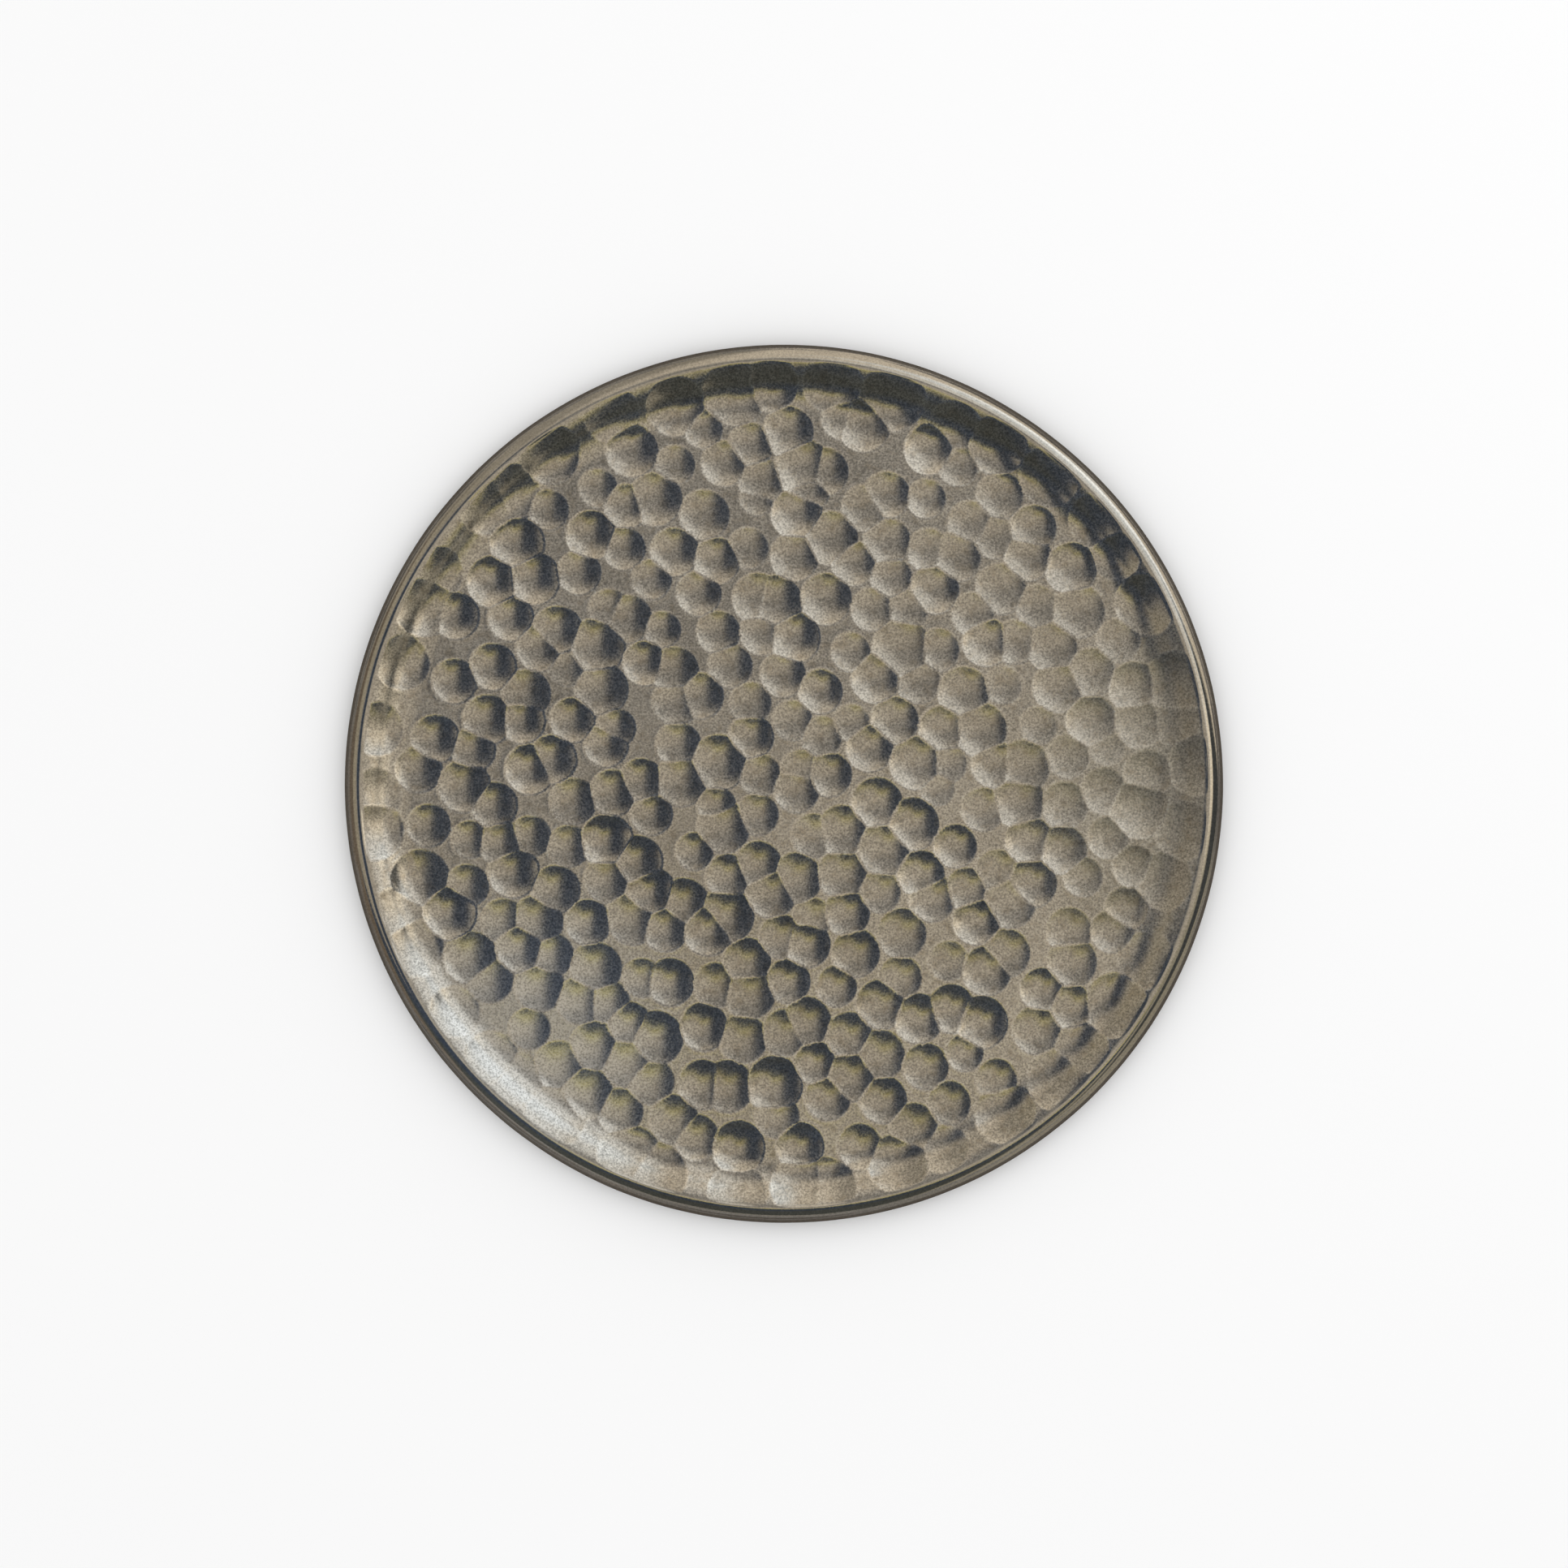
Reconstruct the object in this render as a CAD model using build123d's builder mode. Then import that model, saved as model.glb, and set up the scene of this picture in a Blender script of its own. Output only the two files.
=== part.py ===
"""Hammered paten plate: a shallow sheet-metal dish whose edge is rolled over a wire.

Millimetres, +Z up. The origin is the centre of the flat base's underside, so the plate
stands on Z = 0 and is round about Z. Every piece is a ring or disc about that axis.
"""

from build123d import *
import math
import os

# Driving dimensions
PLATE_RADIUS = 76.0  # outermost point of the rolled edge
SHEET = 1.2  # thickness of the dish's sheet
BASE_RADIUS = 30.0  # flat disc that the plate stands on
FLOOR_RADIUS = 64.5  # where the gently dished floor turns up into the wall
WALL_RADIUS = 70.0  # where the hollow wall turns over into the shoulder
CREST_RADIUS = 73.4  # the highest line, round the crest
CREST_BEND = 2.4  # radius of the crest's upper surface
ROLL_RADIUS = 1.8  # outside of the rolled edge
FLOOR_SLOPE = 3.5  # degrees, at the outer edge of the floor
WALL_SLOPE = 27.0  # degrees, the steepest part of the wall
SHOULDER_SLOPE = 14.0  # degrees, where the shoulder meets the crest
LIP_SLOPE = 40.0  # degrees, the narrow flat that falls outwards from the crest
ROLL_TAIL = 153.0  # degrees round the wire, from outwards through up, where the roll ends
JOINT_WIDTH = 1.2  # braze between the wire's two cut ends
SOLDER_FOOT = 110.0  # degrees round the shoulder's arc where the seam's fillet starts
SOLDER_ROLL = 172.0  # degrees round the wire where the fillet ends on the roll
SOLDER_DEPTH = 0.3  # how near to the wire's middle the solder has run in past the tail

WIRE_RADIUS = ROLL_RADIUS - SHEET


def rise(radius, low_slope, high_slope):
    """Height gained along an arc of this radius between two slopes in degrees."""
    return radius * (math.cos(math.radians(low_slope)) - math.cos(math.radians(high_slope)))


def arc_radius(run, low_slope, high_slope):
    """Radius of the arc that turns between two slopes over this horizontal run."""
    return run / (math.sin(math.radians(high_slope)) - math.sin(math.radians(low_slope)))


def on_arc(bend, slope):
    """Plan distance along an arc of this radius between level and a slope in degrees."""
    return bend * math.sin(math.radians(slope))


# The upper surface is a flat disc and four tangent arcs: floor, wall, shoulder and crest.
SHOULDER_RADIUS = CREST_RADIUS - on_arc(CREST_BEND, SHOULDER_SLOPE)
FLOOR_ARC = arc_radius(FLOOR_RADIUS - BASE_RADIUS, 0, FLOOR_SLOPE)
WALL_ARC = arc_radius(WALL_RADIUS - FLOOR_RADIUS, FLOOR_SLOPE, WALL_SLOPE)
SHOULDER_ARC = arc_radius(SHOULDER_RADIUS - WALL_RADIUS, SHOULDER_SLOPE, WALL_SLOPE)
FLOOR_Z = SHEET + rise(FLOOR_ARC, 0, FLOOR_SLOPE)
WALL_Z = FLOOR_Z + rise(WALL_ARC, FLOOR_SLOPE, WALL_SLOPE)
SHOULDER_Z = WALL_Z + rise(SHOULDER_ARC, SHOULDER_SLOPE, WALL_SLOPE)
CREST_Z = SHOULDER_Z + rise(CREST_BEND, 0, SHOULDER_SLOPE)

# Outside the crest a straight lip falls to the roll.
LIP_START = CREST_RADIUS + on_arc(CREST_BEND, LIP_SLOPE)
LIP_END = PLATE_RADIUS - ROLL_RADIUS + on_arc(ROLL_RADIUS, LIP_SLOPE)
LIP_FALL = (LIP_END - LIP_START) * math.tan(math.radians(LIP_SLOPE))
LIP_Z = CREST_Z - rise(CREST_BEND, 0, LIP_SLOPE) - LIP_FALL

# Centres of the arcs, as (radius from the plate's axis, height)
FLOOR_CENTRE = (BASE_RADIUS, SHEET + FLOOR_ARC)
WALL_CENTRE = (
    FLOOR_RADIUS - WALL_ARC * math.sin(math.radians(FLOOR_SLOPE)),
    FLOOR_Z + WALL_ARC * math.cos(math.radians(FLOOR_SLOPE)),
)
SHOULDER_CENTRE = (
    SHOULDER_RADIUS + SHOULDER_ARC * math.sin(math.radians(SHOULDER_SLOPE)),
    SHOULDER_Z - SHOULDER_ARC * math.cos(math.radians(SHOULDER_SLOPE)),
)
CREST_CENTRE = (CREST_RADIUS, CREST_Z - CREST_BEND)
WIRE_CENTRE = (
    PLATE_RADIUS - ROLL_RADIUS,
    LIP_Z - ROLL_RADIUS * math.cos(math.radians(LIP_SLOPE)),
)

# Directions in the section and the turns of its arcs, in degrees
DOWN = -90.0
UP = 90.0
LIP_NORMAL = UP - LIP_SLOPE
ROLL_OUTER_TURN = LIP_NORMAL - DOWN  # from the lip to the roll's lowest point
ROLL_INNER_TURN = 360.0 - ROLL_TAIL + DOWN  # back in under the plate to the tail


def around(centre, radius, angle):
    """A point of the section at this distance and angle in degrees from an arc's centre."""
    turn = math.radians(angle)
    return (centre[0] + radius * math.cos(turn), centre[1] + radius * math.sin(turn))


def sheet_face(depth):
    """One face of the sheet, this far below its upper surface, from the axis to the lip's end."""
    Line((0, SHEET - depth), (BASE_RADIUS, SHEET - depth))
    CenterArc(FLOOR_CENTRE, FLOOR_ARC + depth, DOWN, FLOOR_SLOPE)
    CenterArc(WALL_CENTRE, WALL_ARC + depth, DOWN + FLOOR_SLOPE, WALL_SLOPE - FLOOR_SLOPE)
    shoulder_turn = WALL_SLOPE - SHOULDER_SLOPE
    CenterArc(SHOULDER_CENTRE, SHOULDER_ARC - depth, UP + SHOULDER_SLOPE, shoulder_turn)
    CenterArc(CREST_CENTRE, CREST_BEND - depth, LIP_NORMAL, LIP_SLOPE + SHOULDER_SLOPE)
    Line(
        around(CREST_CENTRE, CREST_BEND - depth, LIP_NORMAL),
        around(WIRE_CENTRE, ROLL_RADIUS - depth, LIP_NORMAL),
    )


def roll_face(radius):
    """One face of the rolled edge, from the lip's end down and in under the plate."""
    CenterArc(WIRE_CENTRE, radius, LIP_NORMAL, -ROLL_OUTER_TURN)
    CenterArc(WIRE_CENTRE, radius, DOWN, -ROLL_INNER_TURN)


def dish_section():
    """Half section of the sheet, from the axis out over the crest and round the wire."""
    with BuildSketch(Plane.XZ) as section:
        with BuildLine():
            sheet_face(0)
            sheet_face(SHEET)
            roll_face(ROLL_RADIUS)
            roll_face(WIRE_RADIUS)
            Line((0, 0), (0, SHEET))
            Line(
                around(WIRE_CENTRE, ROLL_RADIUS, ROLL_TAIL),
                around(WIRE_CENTRE, WIRE_RADIUS, ROLL_TAIL),
            )
        make_face()
    return section.sketch


def make_dish():
    """The dish: one disc of sheet, sunk to a shallow bowl and rolled at its edge."""
    with BuildPart() as dish:
        add(dish_section())
        revolve(axis=Axis.Z)
    return dish


def make_wire(start_angle, sweep_angle):
    """Part of the round wire inside the roll, from one angle about Z through another."""
    with BuildPart() as wire:
        with BuildSketch(Plane.XZ.rotated((0, 0, start_angle))):
            with Locations(WIRE_CENTRE):
                Circle(WIRE_RADIUS)
        revolve(axis=Axis.Z, revolution_arc=sweep_angle)
    return wire


def make_seam_solder():
    """Solder that closes the roll's tail against the underside of the shoulder."""
    inner_radius = WIRE_CENTRE[0] - SOLDER_DEPTH
    mid_sheet = around(CREST_CENTRE, CREST_BEND - SHEET / 2, UP)[1]
    with BuildPart() as solder:
        with BuildSketch(Plane.XZ):
            with BuildLine():
                Polyline(
                    (inner_radius, WIRE_CENTRE[1]),
                    around(WIRE_CENTRE, ROLL_RADIUS, SOLDER_ROLL),
                    around(SHOULDER_CENTRE, SHOULDER_ARC - SHEET, SOLDER_FOOT),
                    around(SHOULDER_CENTRE, SHOULDER_ARC - SHEET / 2, SOLDER_FOOT),
                    (inner_radius, mid_sheet),
                    (inner_radius, WIRE_CENTRE[1]),
                )
            make_face()
            with Locations(WIRE_CENTRE):
                Circle(WIRE_RADIUS, mode=Mode.SUBTRACT)
            add(dish_section(), mode=Mode.SUBTRACT)
        revolve(axis=Axis.Z)
    return solder


JOINT_ANGLE = math.degrees(JOINT_WIDTH / WIRE_CENTRE[0])

hammered_dish = make_dish()
rim_wire = make_wire(JOINT_ANGLE / 2, 360 - JOINT_ANGLE)
wire_joint = make_wire(-JOINT_ANGLE / 2, JOINT_ANGLE)
seam_solder = make_seam_solder()

hammered_dish.part.label = "hammered_dish"
rim_wire.part.label = "rim_wire"
wire_joint.part.label = "wire_joint"
seam_solder.part.label = "seam_solder"

os.makedirs("parts", exist_ok=True)
export_step(hammered_dish.part, "parts/hammered_dish.step")
export_step(rim_wire.part, "parts/rim_wire.step")
export_step(wire_joint.part, "parts/wire_joint.step")
export_step(seam_solder.part, "parts/seam_solder.step")
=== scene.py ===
import math

import bpy
import numpy as np
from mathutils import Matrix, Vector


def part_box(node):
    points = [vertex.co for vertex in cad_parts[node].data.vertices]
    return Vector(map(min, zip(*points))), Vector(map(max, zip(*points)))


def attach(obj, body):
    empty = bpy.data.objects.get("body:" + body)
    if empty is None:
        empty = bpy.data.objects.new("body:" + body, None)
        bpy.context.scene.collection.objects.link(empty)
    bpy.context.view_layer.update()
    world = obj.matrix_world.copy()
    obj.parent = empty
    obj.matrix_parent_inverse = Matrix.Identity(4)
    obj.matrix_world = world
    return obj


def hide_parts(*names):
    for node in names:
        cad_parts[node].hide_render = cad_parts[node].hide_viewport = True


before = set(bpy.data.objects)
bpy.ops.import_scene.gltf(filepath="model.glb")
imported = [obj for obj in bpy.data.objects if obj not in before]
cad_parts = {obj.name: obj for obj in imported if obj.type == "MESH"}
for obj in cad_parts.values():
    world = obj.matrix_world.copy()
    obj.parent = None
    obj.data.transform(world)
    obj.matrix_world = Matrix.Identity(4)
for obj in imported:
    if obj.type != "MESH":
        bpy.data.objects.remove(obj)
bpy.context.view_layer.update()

DISH_LOW, DISH_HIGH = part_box("hammered_dish")

# The dish's section, in metres, as the CAD has it
PLATE_RADIUS = (DISH_HIGH.x - DISH_LOW.x) / 2
SHEET = 0.0012
BASE_RADIUS = 0.030
FLOOR_RADIUS = 0.0645
WALL_RADIUS = 0.0700
CREST_RADIUS = 0.0734
CREST_BEND = 0.0024
ROLL_RADIUS = 0.0018
FLOOR_SLOPE = math.radians(3.5)
WALL_SLOPE = math.radians(27)
SHOULDER_SLOPE = math.radians(14)
LIP_SLOPE = math.radians(40)
ROLL_TAIL = math.radians(153)


def arc_radius(run, low, high):
    """Radius of the arc that turns between two slopes over this horizontal run."""
    return run / (math.sin(high) - math.sin(low))


SHOULDER_RADIUS = CREST_RADIUS - CREST_BEND * math.sin(SHOULDER_SLOPE)
FLOOR_ARC = arc_radius(FLOOR_RADIUS - BASE_RADIUS, 0, FLOOR_SLOPE)
WALL_ARC = arc_radius(WALL_RADIUS - FLOOR_RADIUS, FLOOR_SLOPE, WALL_SLOPE)
SHOULDER_ARC = arc_radius(SHOULDER_RADIUS - WALL_RADIUS, SHOULDER_SLOPE, WALL_SLOPE)

# Hammer marks, in metres
SEED = 41
RIM_MARKS = 44  # in the row along the wall
RIM_ROW = 0.0697  # the row's distance from the axis
RIM_WANDER = 0.0010  # how far its marks stray inwards or outwards
RIM_JITTER = 0.35  # how far they stray along it, in steps of the row
FIELD_MARKS = 262
FIELD_REACH = 0.0622
FIELD_WANDER = 0.0011
MARK_GAP = 0.0079  # between the centres of neighbours
MARK_RADIUS = 0.0041
MARK_SPREAD = 0.00042  # standard deviation of the radius
MARK_LEAST = 0.0030
MARK_MOST = 0.0058
BALL_RADIUS = 0.0170  # of the hammer's face, so of a mark's hollow
BALL_LEAST = 0.8  # range of that radius, as a share of it
BALL_MOST = 1.35
WALL_FROM = 0.064  # on the wall, from here out, marks are wider and flatter
WALL_BLEND = 0.003
WALL_WIDER = 0.0010
WALL_FLATTER = 0.7
LIGHT_PATCH = np.array([-0.042, -0.049])  # where the blows were light
LIGHT_SIZE = 0.019
LIGHT_FLATTER = 0.8
SOFT_PATCH = np.array([0.045, 0.028])  # and where they were middling
SOFT_SIZE = 0.030
SOFT_SHARE = 0.25
DIG_IN = 0.6  # share of an older hollow's depth that a new blow inside it goes deeper by
MARK_DEPTH = MARK_RADIUS**2 / (2 * BALL_RADIUS)  # of a usual mark
LIP_HEIGHT = 0.000022  # of the metal that each blow pushes up round its mark
LIP_WIDTH = 0.0006
RIDGE_WIDTH = 0.0003  # of the painted highlight line along each mark's edge
EDGE_BLEND = 0.00025  # of the slopes on either side of it
SMOOTH_FROM = 0.0724  # the hammering fades out from here
SMOOTH_TO = 0.0730  # to here, just inside the crest
FACE_SINK = 0.00006  # keeps waves and pushed-up metal within the CAD's surface
WAVE_LENGTH = 0.016  # of the face's faint unevenness
WAVE_HEIGHT = 0.00002
UNTOUCHED = 0.000002  # a depth under this is outside every mark
RING_STEP = CREST_RADIUS / 220  # mesh spacing on the upper face

# The rolled edge's unevenness: short ripples and long sways, dented inwards only
RIPPLE_LENGTH = 0.009
RIPPLE_HEIGHT = 0.000008
SWAY_LENGTH = 0.05
SWAY_HEIGHT = 0.00003
CREST_POINTS = 9  # mesh points along each part of the edge's section
LIP_POINTS = 6
ROLL_POINTS = 30
DENT_RUN = 12  # section points over which the dents grow from nothing
COARSE_FROM = 24  # section point from which half as many points run round the ring
UNDER_COARSER = 4  # times fewer points round a ring on the sheet's inner side and underside

BULGE = 0.00007  # height of the marks' faint bulges on the underside
BULGE_FADE = 0.004  # width over which they fade out inside the wall's outer edge


def arc_height(radius, start, start_slope, bend, sign):
    """Rise and slope along an arc that starts at this radius and slope, bending up or down."""
    sine = math.sin(start_slope) + sign * (radius - start) / bend
    sine = np.clip(sine, -0.99, 0.99)
    rise = sign * bend * (math.cos(start_slope) - np.sqrt(1 - sine**2))
    return rise, np.arcsin(sine)


def face_height(radius):
    """Height and slope of the sheet's smooth upper face at these distances from the axis."""
    radius = np.asarray(radius, float)
    height = np.full(radius.shape, SHEET)
    slope = np.zeros(radius.shape)
    base = SHEET
    for start, end, start_slope, bend, sign in SECTION:
        rise, tilt = arc_height(radius, start, start_slope, bend, sign)
        here = (radius > start) & (radius <= end)
        height = np.where(here, base + rise, height)
        slope = np.where(here, tilt, slope)
        base += arc_height(end, start, start_slope, bend, sign)[0]
    return height, slope


SECTION = [
    (BASE_RADIUS, FLOOR_RADIUS, 0, FLOOR_ARC, 1),
    (FLOOR_RADIUS, WALL_RADIUS, FLOOR_SLOPE, WALL_ARC, 1),
    (WALL_RADIUS, SHOULDER_RADIUS, WALL_SLOPE, SHOULDER_ARC, -1),
    (SHOULDER_RADIUS, PLATE_RADIUS, SHOULDER_SLOPE, CREST_BEND, -1),
]
CREST_Z = float(face_height(CREST_RADIUS)[0])

# Outside the crest a straight lip falls to the roll. Points are (distance from the axis, height).
LIP_START = CREST_RADIUS + CREST_BEND * math.sin(LIP_SLOPE)
LIP_END = PLATE_RADIUS - ROLL_RADIUS * (1 - math.sin(LIP_SLOPE))
LIP_FALL = CREST_BEND * (1 - math.cos(LIP_SLOPE)) + (LIP_END - LIP_START) * math.tan(LIP_SLOPE)
CREST_CENTRE = (CREST_RADIUS, CREST_Z - CREST_BEND)
WIRE_CENTRE = (PLATE_RADIUS - ROLL_RADIUS, CREST_Z - LIP_FALL - ROLL_RADIUS * math.cos(LIP_SLOPE))


def on_face(plan):
    """Points and normals of the smooth upper face over these (x, y) places."""
    radius = np.maximum(np.linalg.norm(plan, axis=1), 1e-9)
    height, slope = face_height(radius)
    points = np.column_stack([plan, height])
    inward = -plan / radius[:, None] * np.sin(slope)[:, None]
    return points, np.column_stack([inward, np.cos(slope)])


def polar(radius, angle):
    """Places at these distances and angles, as rows of (x, y)."""
    return np.column_stack([radius * np.cos(angle), radius * np.sin(angle)])


class Marks:
    """The hammer marks: a row along the wall and a field of others spread inside it."""

    def __init__(self, rng):
        turn = np.arange(RIM_MARKS) + rng.uniform(-RIM_JITTER, RIM_JITTER, RIM_MARKS)
        out = RIM_ROW + rng.normal(0, RIM_WANDER, RIM_MARKS)
        rim = polar(out, turn * 2 * math.pi / RIM_MARKS)
        field = self.spread_field(rng, rim)
        plan = np.concatenate([field, rim])
        rng.shuffle(plan)
        self.hubs = on_face(plan)[0]
        count = len(plan)
        out = np.linalg.norm(plan, axis=1)
        wide = np.clip((out - WALL_FROM) / WALL_BLEND, 0, 1)
        size = rng.normal(MARK_RADIUS, MARK_SPREAD, count) + WALL_WIDER * wide
        self.radii = np.clip(size, MARK_LEAST, MARK_MOST)
        light = np.exp(-((plan - LIGHT_PATCH) ** 2).sum(1) / LIGHT_SIZE**2)
        light += SOFT_SHARE * np.exp(-((plan - SOFT_PATCH) ** 2).sum(1) / SOFT_SIZE**2)
        ball = BALL_RADIUS * rng.uniform(BALL_LEAST, BALL_MOST, count) * (1 + WALL_FLATTER * wide)
        self.balls = ball * (1 + LIGHT_FLATTER * light)
        self.drops = self.radii**2 / (2 * self.balls)
        for i in range(1, count):
            earlier = slice(0, i)
            away = ((self.hubs[earlier] - self.hubs[i]) ** 2).sum(1)
            dug = (self.drops[earlier] - away / (2 * self.balls[earlier])).max()
            self.drops[i] += DIG_IN * max(dug, 0)

    @staticmethod
    def spread_field(rng, rim):
        """Darts thrown at the floor, then pushed apart until they are spread."""
        count, reach = FIELD_MARKS, FIELD_REACH
        rounds, wanted_gap, stride = 70, 1.06 * MARK_GAP, 0.25
        field = polar(reach * np.sqrt(rng.uniform(0, 1, count)), rng.uniform(0, 2 * math.pi, count))
        for _ in range(rounds):
            gap = field[:, None] - np.concatenate([field, rim])[None]
            distance = np.linalg.norm(gap, axis=2) + np.eye(count, count + len(rim))
            push = np.clip(wanted_gap - distance, 0, None) / distance
            field += stride * (gap * push[:, :, None]).sum(1)
            far = np.linalg.norm(field, axis=1)
            field *= np.minimum(1, reach / far)[:, None]
        return field + rng.normal(0, FIELD_WANDER, field.shape)

    def read(self, plan):
        """At each place: the two deepest marks' depths and indices, and the lips' height and tilt.

        The untouched face counts as a mark of depth 0 with index -1."""
        points, _ = on_face(plan)
        best = np.zeros(len(plan))
        second = np.full(len(plan), -1.0)
        first_index = np.full(len(plan), -1)
        second_index = np.full(len(plan), -1)
        lip = np.zeros(len(plan))
        tilt = np.zeros((len(plan), 3))
        for i, hub in enumerate(self.hubs):
            near = np.flatnonzero(np.abs(plan - hub[:2]).max(1) < 2 * self.radii[i])
            away = ((points[near] - hub) ** 2).sum(1)
            depth = self.drops[i] - away / (2 * self.balls[i])
            beyond = np.maximum(np.sqrt(away) - self.radii[i], 0) / LIP_WIDTH
            height = LIP_HEIGHT * min(1, BALL_RADIUS / self.balls[i]) * np.exp(-(beyond**2))
            higher = height > lip[near]
            raised = near[higher]
            lip[raised] = height[higher]
            outward = (points[raised] - hub) / np.sqrt(away[higher])[:, None]
            tilt[raised] = outward * (height * 2 * beyond / LIP_WIDTH)[higher][:, None]
            over = depth > best[near]
            won, kept = near[over], near[~over]
            second[won], second_index[won] = best[won], first_index[won]
            best[won], first_index[won] = depth[over], i
            runner = depth[~over] > second[kept]
            second[kept[runner]] = depth[~over][runner]
            second_index[kept[runner]] = i
        return best, second, first_index, second_index, lip, tilt

    def slope(self, points, index):
        """How the numbered mark's depth grows at each point, as a vector; none for index -1."""
        i = np.maximum(index, 0)
        grown = (self.hubs[i, : points.shape[1]] - points) / self.balls[i, None]
        return np.where((index >= 0)[:, None], grown, 0)

    def snap(self, plan, reach):
        """Moves places that lie close to a mark's edge onto it, so that edges stay crisp."""
        best, second, first, other, _, _ = self.read(plan)
        climb = self.slope(plan, first) - self.slope(plan, other)
        gap = best - second
        steep = (climb**2).sum(1)
        near = (steep > 0) & (gap < reach * np.sqrt(steep)) & (second > -1)
        near &= np.linalg.norm(plan, axis=1) < SMOOTH_FROM
        moved = plan.copy()
        moved[near] -= climb[near] * (gap[near] / steep[near])[:, None]
        return moved


def smooth_noise(points, size, seed):
    """Smooth random waves of about this wavelength and unit height."""
    rng = np.random.default_rng(seed)
    total = np.zeros(len(points))
    waves = 24
    for _ in range(waves):
        direction = rng.normal(size=points.shape[1])
        direction /= np.linalg.norm(direction)
        length = size * rng.uniform(0.7, 1.5)
        total += np.cos(points @ direction * 2 * math.pi / length + rng.uniform(0, 2 * math.pi))
    return total / math.sqrt(waves / 2)


class Rings:
    """A closed surface of rings of points, each joined to the one before it."""

    def __init__(self):
        self.points, self.faces, self.total = [], [], 0

    def add(self, ring):
        """Joins a ring, an (n, 3) array that starts on +X and runs with the angle."""
        if self.points:
            last = len(self.points[-1])
            self.faces.append(zip_rings(self.total - last, last, self.total, len(ring)))
        self.points.append(ring)
        self.total += len(ring)


def zip_rings(a, n, b, m):
    """Triangles between n points from index a and m points from index b, by angle."""
    turn = np.concatenate([(np.arange(n) + 0.5) / n, (np.arange(m) + 0.5) / m])
    on_a = (np.arange(n + m) < n)[np.argsort(turn, kind="stable")]
    i = np.cumsum(on_a) - on_a
    j = np.cumsum(~on_a) - ~on_a
    third = np.where(on_a, a + (i + 1) % n, b + (j + 1) % m)
    faces = np.column_stack([a + i % n, b + j % m, third])
    return faces[on_a] if m == 1 else faces[~on_a] if n == 1 else faces


def circle(radius, count):
    """Plan places on a circle about the axis."""
    return polar(radius, np.arange(count) * 2 * math.pi / count)


def upper_face(rings, marks):
    """The hammered upper face, from the middle out to the crest.

    Returns its normals and, at each point, the marks' depth, how near a mark's edge is (the share of
    the painted highlight along it), and how far the hammering has faded out."""
    snap_reach = 0.48 * RING_STEP
    steps = round(CREST_RADIUS / RING_STEP)
    plans = [np.zeros((1, 2))] + [circle(k * RING_STEP, 6 * k) for k in range(1, steps + 1)]
    plan = marks.snap(np.concatenate(plans), snap_reach)
    points, normals = on_face(plan)
    depth, second, first, other, lip, lip_tilt = marks.read(plan)
    wall, facing = marks.slope(points, first), marks.slope(points, other)
    crease = np.maximum(np.linalg.norm(wall - facing, axis=1), 1e-6)
    inside = np.minimum((depth - second) / crease, 1)  # how far from the nearest edge of a mark
    share = 0.5 * np.clip(1 - inside / EDGE_BLEND, 0, 1)
    wall += (facing - wall) * share[:, None]
    fade = np.clip((SMOOTH_TO - np.linalg.norm(plan, axis=1)) / (SMOOTH_TO - SMOOTH_FROM), 0, 1)
    fade = fade * fade * (3 - 2 * fade)
    wave = smooth_noise(plan, WAVE_LENGTH, SEED + 1) * WAVE_HEIGHT
    # share of the painted highlight line along the marks' edges
    ridge_highlight = np.exp(-((inside / RIDGE_WIDTH) ** 2)) * fade
    drop = (depth - lip + wave + FACE_SINK) * fade
    points = points - normals * drop[:, None]
    wall += np.where((depth < UNTOUCHED)[:, None], lip_tilt, 0)
    normals = normals + wall * fade[:, None]
    normals /= np.linalg.norm(normals, axis=1)[:, None]
    for ring in np.split(points, np.cumsum([len(p) for p in plans])[:-1]):
        rings.add(ring)
    return normals, depth * fade, ridge_highlight, 1 - fade


def arc(centre, radius, start, end, count):
    """Section points along an arc between two angles."""
    turn = np.linspace(start, end, count)
    return np.column_stack([centre[0] + radius * np.cos(turn), centre[1] + radius * np.sin(turn)])


def edge_section(depth):
    """One face of the edge, this far below its outer surface, from the crest to the tail."""
    up, lip_normal = math.pi / 2, math.pi / 2 - LIP_SLOPE
    crest = arc(CREST_CENTRE, CREST_BEND - depth, up, lip_normal, CREST_POINTS)
    tail = ROLL_TAIL - 2 * math.pi
    roll = arc(WIRE_CENTRE, ROLL_RADIUS - depth, lip_normal, tail, ROLL_POINTS)
    lip = np.linspace(crest[-1], roll[0], LIP_POINTS)[1:-1]
    return np.concatenate([crest, lip, roll])


def rolled_edge(rings, count):
    """The edge from the crest out, down and in to its tail, then back round the wire."""
    outer = edge_section(0)
    for k in range(1, len(outer)):
        size = count if k < COARSE_FROM else count // 2
        ring = np.column_stack([circle(outer[k, 0], size), np.full(size, outer[k, 1])])
        middle = np.column_stack([circle(WIRE_CENTRE[0], size), np.full(size, WIRE_CENTRE[1])])
        ripple = smooth_noise(ring, RIPPLE_LENGTH, SEED + 2) * RIPPLE_HEIGHT
        sway = smooth_noise(ring, SWAY_LENGTH, SEED + 3) * SWAY_HEIGHT
        dent = np.minimum(ripple + sway - FACE_SINK, 0) * min(1, k / DENT_RUN)
        outward = (ring - middle) / np.linalg.norm(ring - middle, axis=1)[:, None]
        rings.add(ring + outward * dent[:, None])
    for radius, height in edge_section(SHEET)[::-1]:
        size = count // UNDER_COARSER
        rings.add(np.column_stack([circle(radius, size), np.full(size, height)]))


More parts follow.
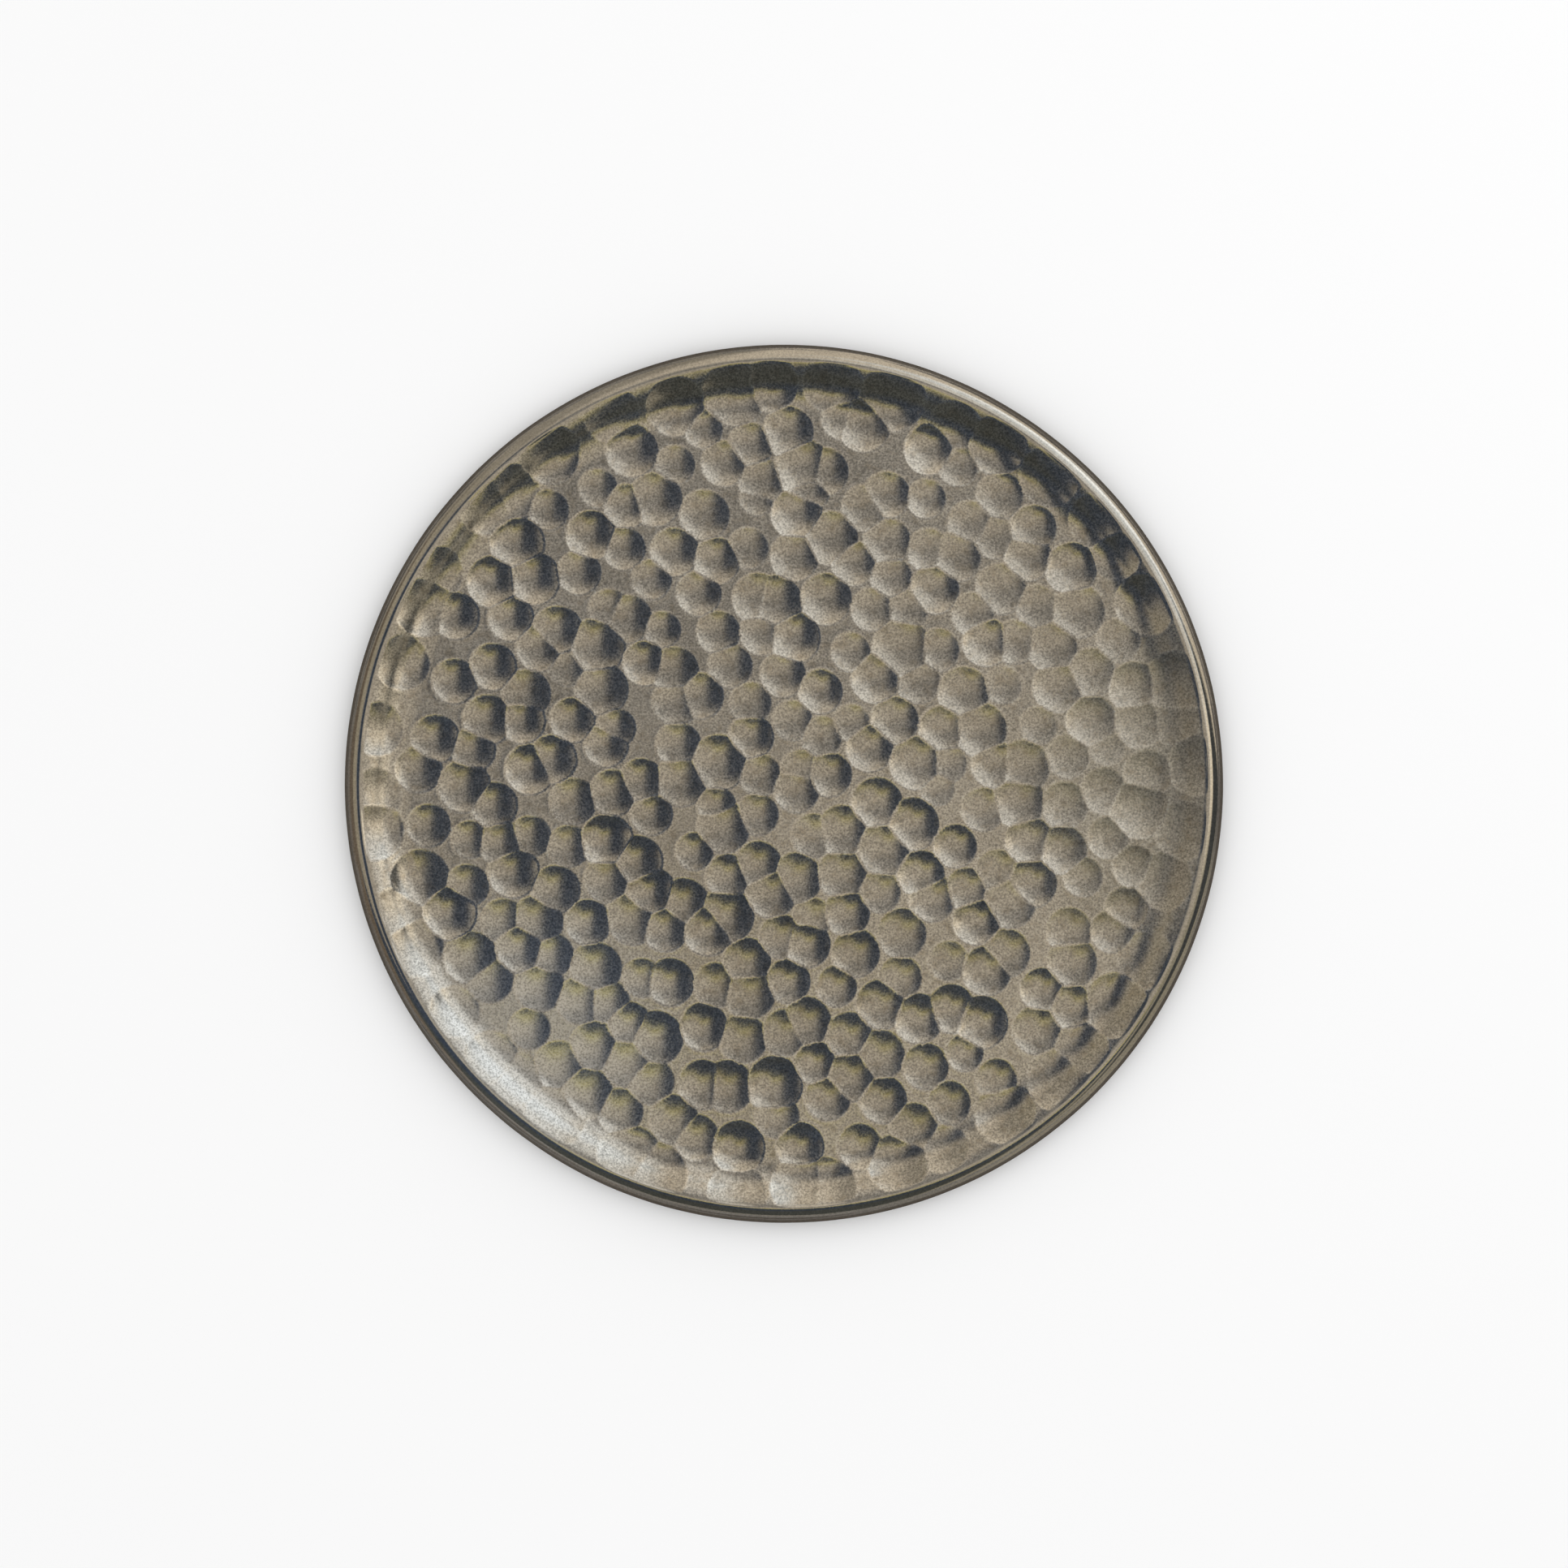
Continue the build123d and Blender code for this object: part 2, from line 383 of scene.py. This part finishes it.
def under_face(rings, marks, count):
    """The underside, from under the crest in to the middle, with the marks' faint bulges."""
    steps = count // 6
    for k in range(steps - 1, -1, -1):
        radius = CREST_RADIUS * k / steps
        plan = circle(radius, 6 * k) if k else np.zeros((1, 2))
        points, normals = on_face(plan)
        deep = marks.read(plan)[0]
        bulge = np.clip(deep / MARK_DEPTH, 0, 1)
        fade = np.clip((WALL_RADIUS - radius) / BULGE_FADE, 0, 1)
        thick = SHEET - BULGE * (1 - bulge) * fade
        rings.add(points - normals * np.reshape(thick, (-1, 1)))


def note_on_face(mesh, name, values, elsewhere):
    """Stores a number per vertex: these on the upper face, which comes first, then a constant."""
    numbers = np.full(len(mesh.vertices), elsewhere, np.float32)
    numbers[: len(values)] = values
    mesh.attributes.new(name, "FLOAT", "POINT").data.foreach_set("value", numbers)


def build_dish():
    """The whole sheet as one closed mesh, hammered on its upper face."""
    marks = Marks(np.random.default_rng(SEED))
    rings = Rings()
    normals, depth, ridge_highlight, smooth = upper_face(rings, marks)
    rim_count = len(rings.points[-1])
    rolled_edge(rings, rim_count)
    under_face(rings, marks, rim_count // UNDER_COARSER)
    points = np.concatenate(rings.points)
    points[:, 2] = np.minimum(points[:, 2], DISH_HIGH.z)
    mesh = bpy.data.meshes.new("hammered_sheet")
    mesh.from_pydata(points, [], np.concatenate(rings.faces))
    note_on_face(mesh, "hollow", depth / MARK_DEPTH, 0)
    note_on_face(mesh, "ridge_highlight", ridge_highlight, 0)
    note_on_face(mesh, "smooth", smooth, 1)
    mesh.shade_smooth()
    mesh.validate()
    shading = np.array([vertex.vector for vertex in mesh.vertex_normals])
    inner = np.linalg.norm(points[: len(normals), :2], axis=1) < SMOOTH_TO
    shading[: len(normals)][inner] = normals[inner]
    mesh.normals_split_custom_set_from_vertices(shading)
    dish = bpy.data.objects.new("hammered_sheet", mesh)
    bpy.context.scene.collection.objects.link(dish)
    return dish


class Nodes:
    """Short names for adding and joining shader nodes."""

    def __init__(self, tree):
        self.tree = tree
        tree.nodes.clear()

    def add(self, kind, inputs=None, **settings):
        """A new node of this kind, with these inputs fed and these properties set."""
        node = self.tree.nodes.new(kind)
        for name, value in settings.items():
            setattr(node, name, value)
        for name, value in (inputs or {}).items():
            self.feed(node.inputs[name], value)
        return node

    def feed(self, socket, value):
        """Links a socket or a node's first output to an input, or sets its value."""
        if isinstance(value, bpy.types.NodeSocket):
            self.tree.links.new(value, socket)
        elif isinstance(value, bpy.types.Node):
            self.tree.links.new(value.outputs[0], socket)
        else:
            socket.default_value = value

    def math(self, operation, a, b=0.0):
        """One arithmetic step."""
        return self.add("ShaderNodeMath", {0: a, 1: b}, operation=operation).outputs[0]

    def product(self, first, *rest):
        """All these values multiplied."""
        for value in rest:
            first = self.math("MULTIPLY", first, value)
        return first

    def span(self, value, low, high, start=0.0, end=1.0):
        """value taken smoothly from the range low to high into start to end."""
        inputs = {"Value": value, "From Min": low, "From Max": high, "To Min": start, "To Max": end}
        node = self.add("ShaderNodeMapRange", inputs, interpolation_type="SMOOTHSTEP")
        return node.outputs["Result"]

    def between(self, value, low, high, soft):
        """1 where value lies between low and high, with soft ends."""
        return self.product(
            self.span(value, low - soft, low + soft), self.span(value, high + soft, high - soft)
        )

    def noise(self, where, scale, detail=2.0, roughness=0.5):
        """Cloudy noise of this many waves to a metre."""
        inputs = {"Vector": where, "Scale": scale, "Detail": detail, "Roughness": roughness}
        return self.add("ShaderNodeTexNoise", inputs).outputs["Fac"]

    def distance(self, where, place):
        """How far a position is from a fixed place."""
        inputs = {0: where, 1: place}
        return self.add("ShaderNodeVectorMath", inputs, operation="DISTANCE").outputs["Value"]

    def grey(self, value):
        """A value as a colour."""
        inputs = {"Red": value, "Green": value, "Blue": value}
        return self.add("ShaderNodeCombineColor", inputs).outputs[0]

    def mix(self, share, a, b, blend="MIX"):
        """Colour a taken towards colour b by this share."""
        node = self.add("ShaderNodeMix", data_type="RGBA", blend_type=blend)
        self.feed(node.inputs["Factor"], share)
        self.feed(node.inputs[6], a)
        self.feed(node.inputs[7], b)
        return node.outputs[2]


def new_material(name):
    """An empty material and its nodes."""
    material = bpy.data.materials.new(name)
    material.use_nodes = True
    return material, Nodes(material.node_tree)


def pewter():
    """Aged pewter: grained and stained, darker in the marks, with a painted highlight along their
    edges.

    One patch is painted brighter and bluish, a painted sheen of the window, and one is dull. The lip is
    smoother than the rest."""
    # where the painted sheen of the window lies, and how far out it fades
    sheen_spot, sheen_from, sheen_to = (-0.043, -0.044, 0.0), 0.036, 0.006
    dull_spot, dull_from, dull_to = (0.076, 0.0, 0.0), 0.042, 0.010
    material, n = new_material("aged_pewter")
    where = n.add("ShaderNodeTexCoord").outputs["Object"]
    hollow = n.add("ShaderNodeAttribute", attribute_name="hollow").outputs["Fac"]
    ridge_highlight = n.add("ShaderNodeAttribute", attribute_name="ridge_highlight").outputs["Fac"]
    smooth = n.add("ShaderNodeAttribute", attribute_name="smooth").outputs["Fac"]
    hammered = n.math("SUBTRACT", 1.0, smooth)
    cloud = n.noise(where, 60.0, 3.0)
    grain = n.noise(where, 2600.0, 2.0, 0.7)
    colour = n.mix(n.span(cloud, 0.35, 0.65), (0.66, 0.63, 0.58, 1), (0.74, 0.71, 0.66, 1))
    stain = n.noise(where, 650.0, 3.0, 0.65)
    stain = n.product(n.span(stain, 0.50, 0.68), 0.55, hammered)
    colour = n.mix(stain, colour, (0.44, 0.39, 0.32, 1))
    patina = n.math("MULTIPLY", n.span(hollow, 0.0, 1.0), 0.2)
    colour = n.mix(patina, colour, (0.54, 0.50, 0.44, 1))
    # painted sheen of the window: the base colour taken towards bluish white over one patch
    painted_sheen = n.span(n.distance(where, sheen_spot), sheen_from, sheen_to, 0.0, 0.7)
    colour = n.mix(painted_sheen, colour, (0.93, 0.95, 0.96, 1))
    # painted highlight: a warm white line along each mark's edge, where a rounded ridge would catch the
    # light
    colour = n.mix(n.product(ridge_highlight, 0.5), colour, (0.98, 0.93, 0.86, 1))
    rough_grain = n.span(grain, 0.25, 0.75, 0.55, 1.45)
    fine_grain = n.span(grain, 0.25, 0.75, 0.85, 1.15)
    speck = n.add("ShaderNodeMix", {2: rough_grain, 3: fine_grain, "Factor": smooth}, data_type="FLOAT")
    colour = n.mix(1.0, colour, n.grey(speck.outputs[0]), "MULTIPLY")
    rough = n.math("SUBTRACT", n.span(grain, 0.3, 0.7, 0.16, 0.22), n.product(smooth, 0.07))
    dull = n.span(n.distance(where, dull_spot), dull_from, dull_to, 0.0, 0.24)
    rough = n.math("ADD", rough, n.product(dull, hammered))
    bump = n.add("ShaderNodeBump", {"Height": grain, "Distance": 0.00001, "Strength": 0.5})
    shader = n.add(
        "ShaderNodeBsdfPrincipled",
        {"Base Color": colour, "Roughness": rough, "Normal": bump.outputs[0], "Metallic": 1.0},
    )
    n.add("ShaderNodeOutputMaterial", {"Surface": shader})
    return material


def dull_metal(name, colour, rough_low, rough_high):
    """A plain metal with mottled colour and roughness, for the wire and the joints."""
    material, n = new_material(name)
    where = n.add("ShaderNodeTexCoord").outputs["Object"]
    cloud = n.noise(where, 400.0, 4.0, 0.6)
    dark = tuple(0.75 * c for c in colour) + (1,)
    shade = n.mix(n.span(cloud, 0.3, 0.7), dark, colour + (1,))
    rough = n.span(cloud, 0.3, 0.7, rough_high, rough_low)
    bump = n.add("ShaderNodeBump", {"Height": cloud, "Distance": 0.0001, "Strength": 0.3})
    shader = n.add(
        "ShaderNodeBsdfPrincipled",
        {"Base Color": shade, "Roughness": rough, "Normal": bump.outputs[0], "Metallic": 1.0},
    )
    n.add("ShaderNodeOutputMaterial", {"Surface": shader})
    return material


def dress_node(name, material):
    """Gives a CAD node its material."""
    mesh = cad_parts[name].data
    mesh.materials.clear()
    mesh.materials.append(material)


def pale_world():
    """An even pale surrounding; in the metal it shows as a dim room."""
    world = bpy.data.worlds.new("room")
    bpy.context.scene.world = world
    world.use_nodes = True
    n = Nodes(world.node_tree)
    mirrored = n.add("ShaderNodeLightPath").outputs["Is Glossy Ray"]
    colour = n.mix(mirrored, (1.0, 1.0, 1.0, 1), (0.20, 0.19, 0.18, 1))
    n.add("ShaderNodeOutputWorld", {"Surface": n.add("ShaderNodeBackground", {"Color": colour})})


def ceiling_place(n):
    """X and Y on the ceiling, with wavering edges, and the position itself."""
    waver = 0.03
    where = n.add("ShaderNodeTexCoord").outputs["Object"]
    parts = n.add("ShaderNodeSeparateXYZ", {"Vector": where})
    shift = n.product(n.math("SUBTRACT", n.noise(where, 14.0, 2.0), 0.5), waver)
    x = n.math("ADD", parts.outputs["X"], shift)
    y = n.math("SUBTRACT", parts.outputs["Y"], shift)
    return where, x, y


def light_side(n, x, y):
    """The ceiling's dim middle, its pale +X and +Y sides and the window between them."""
    slant = n.math("SUBTRACT", n.product(x, 0.45), n.product(y, 1.6))
    colour = n.mix(n.span(slant, -0.07, 0.015), (0.25, 0.236, 0.214, 1), (0.42, 0.376, 0.308, 1))
    colour = n.mix(n.span(y, 0.07, 0.22), colour, (0.60, 0.53, 0.425, 1))
    beige = n.product(n.span(x, 0.14, 0.18), n.between(y, -0.05, 0.30, 0.05))
    colour = n.mix(beige, colour, (0.92, 0.81, 0.63, 1))
    along = n.math("ADD", x, y)
    across = n.math("ABSOLUTE", n.math("SUBTRACT", x, y))
    shine = n.product(n.span(along, 0.11, 0.20), n.span(across, 0.24, 0.08))
    colour = n.mix(shine, colour, (0.68, 0.66, 0.61, 1))
    window = n.product(n.between(along, 0.36, 1.35, 0.05), n.span(across, 0.42, 0.18))
    pane = n.mix(n.span(along, 0.55, 0.75), (0.75, 0.77, 0.76, 1), (1.20, 1.22, 1.20, 1))
    return n.mix(window, colour, pane)


def brown_corners(n, x, y, colour):
    """Brown tones over the +X -Y corner and over the -X +Y corner."""
    earth = n.product(n.span(x, 0.10, 0.18), n.span(y, 0.0, -0.08))
    colour = n.mix(earth, colour, (0.31, 0.28, 0.215, 1))
    corner = n.product(n.span(x, -0.02, -0.2), n.span(y, 0.02, 0.2))
    return n.mix(corner, colour, (0.30, 0.27, 0.22, 1))


def far_left(n, x, y, colour):
    """Greyish brown beyond the dark on -X, and dark brown further out."""
    far = n.product(n.span(x, -0.22, -0.3), n.span(y, 0.5, 0.2))
    colour = n.mix(far, colour, (0.34, 0.30, 0.225, 1))
    farther = n.product(n.span(x, -0.45, -0.7), n.span(y, 0.9, 0.4))
    return n.mix(farther, colour, (0.15, 0.12, 0.09, 1))


def dark_side(n, x, depth, y, colour):
    """Dark blue and dark grey on -X and -Y, near black far out on +X, grey far out on -Y."""
    left = n.product(n.between(x, -0.21, -0.06, 0.012), n.between(y, -0.30, 0.12, 0.04))
    below = n.product(n.between(depth, -0.8, -0.093, 0.008), n.between(x, -0.6, 0.24, 0.03))
    dark = n.math("MAXIMUM", below, left)
    shade = n.mix(n.span(y, -0.15, -0.3), (0.046, 0.058, 0.080, 1), (0.065, 0.068, 0.062, 1))
    colour = n.mix(dark, colour, shade)
    far_right = n.product(n.span(x, 0.30, 0.38), n.between(y, -0.45, 0.2, 0.1))
    colour = n.mix(far_right, colour, (0.055, 0.058, 0.058, 1))
    low = n.product(n.span(y, -0.8, -0.95), n.between(x, -1.5, 1.5, 0.3))
    return n.mix(low, colour, (0.22, 0.21, 0.195, 1))


def ceiling_colour(n):
    """What hangs over the plate, by place: a dim middle, dark on -X and -Y, bright on +X and +Y."""
    where, x, y = ceiling_place(n)
    colour = brown_corners(n, x, y, light_side(n, x, y))
    depth = n.math("ADD", y, n.span(x, 0.0, 0.05, -0.008, 0.04))  # the dark starts later on +X
    depth = n.math("ADD", depth, n.span(x, -0.02, -0.06, 0.0, 0.024))  # and a little later on -X
    olive = n.product(n.between(depth, -0.10, -0.07, 0.008), n.between(x, -0.12, 0.2, 0.03))
    olive = n.product(olive, n.span(n.noise(where, 40.0, 2.0), 0.35, 0.6, 0.1, 0.95))
    colour = n.mix(olive, colour, (0.78, 0.68, 0.18, 1))
    colour = far_left(n, x, y, colour)
    colour = dark_side(n, x, depth, y, colour)
    mottle = n.span(n.noise(where, 45.0, 3.0, 0.6), 0.3, 0.7, 0.72, 1.30)
    return n.mix(1.0, colour, n.grey(mottle), "MULTIPLY")


def ceiling():
    """A card over the plate that only its reflections see."""
    reach, height = 6.0, 0.355
    mesh = bpy.data.meshes.new("ceiling")
    corners = [(-reach, -reach, 0), (-reach, reach, 0), (reach, reach, 0), (reach, -reach, 0)]
    mesh.from_pydata(corners, [], [(0, 1, 2, 3)])
    card = bpy.data.objects.new("ceiling", mesh)
    card.location.z = height
    card.visible_camera = False
    card.visible_diffuse = False
    card.visible_shadow = False
    bpy.context.scene.collection.objects.link(card)
    material, n = new_material("ceiling")
    shade = n.add("ShaderNodeEmission", {"Color": ceiling_colour(n)})
    n.add("ShaderNodeOutputMaterial", {"Surface": shade})
    mesh.materials.append(material)


def soft_light():
    """A big soft lamp on the +X +Y side, for the plate's faint shadow on the floor."""
    light = bpy.data.lights.new("soft_light", "AREA")  # watts and metres
    light.size = 0.6
    light.energy = 0.5
    light.color = (0.96, 0.98, 1.0)
    lamp = bpy.data.objects.new("soft_light", light)
    lamp.location = (0.45, 0.45, 0.34)
    lamp.rotation_euler = (-lamp.location).to_track_quat("-Z", "Y").to_euler()
    lamp.visible_glossy = False
    bpy.context.scene.collection.objects.link(lamp)


def studio_floor():
    """A plain pale floor, a hair below the plate; in the metal it shows as a darker table."""
    size, gap = 3.0, 0.0001
    mesh = bpy.data.meshes.new("studio_floor")
    corners = [(-size, -size, 0), (size, -size, 0), (size, size, 0), (-size, size, 0)]
    mesh.from_pydata(corners, [], [(0, 1, 2, 3)])
    floor = bpy.data.objects.new("studio_floor", mesh)
    floor.location.z = -gap
    bpy.context.scene.collection.objects.link(floor)
    material, n = new_material("studio_floor")
    mirrored = n.add("ShaderNodeLightPath").outputs["Is Glossy Ray"]
    colour = n.mix(mirrored, (0.93, 0.93, 0.93, 1), (0.10, 0.085, 0.07, 1))
    shader = n.add("ShaderNodeBsdfPrincipled", {"Base Color": colour, "Roughness": 0.9})
    n.add("ShaderNodeOutputMaterial", {"Surface": shader})
    mesh.materials.append(material)


def overhead_camera():
    """A camera straight above the plate, which fills 56% of the frame's width."""
    height, share = 1.0, 0.5617
    view_width = 2 * PLATE_RADIUS / share
    data = bpy.data.cameras.new("overhead_camera")
    data.sensor_fit = "HORIZONTAL"
    data.angle = 2 * math.atan(view_width / 2 / height)
    camera = bpy.data.objects.new("overhead_camera", data)
    camera.location = (0, 0, height + CREST_Z)
    bpy.context.scene.collection.objects.link(camera)
    bpy.context.scene.camera = camera


bpy.context.scene.view_settings.view_transform = "Standard"
overhead_camera()
pale_world()
ceiling()
studio_floor()
soft_light()

dish = build_dish()
dish.data.materials.append(pewter())
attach(dish, "root")
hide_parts("hammered_dish")

dress_node("rim_wire", dull_metal("drawn_wire", (0.42, 0.41, 0.40), 0.3, 0.45))
dress_node("wire_joint", dull_metal("braze", (0.72, 0.58, 0.32), 0.35, 0.5))
dress_node("seam_solder", dull_metal("soft_solder", (0.50, 0.50, 0.49), 0.35, 0.55))
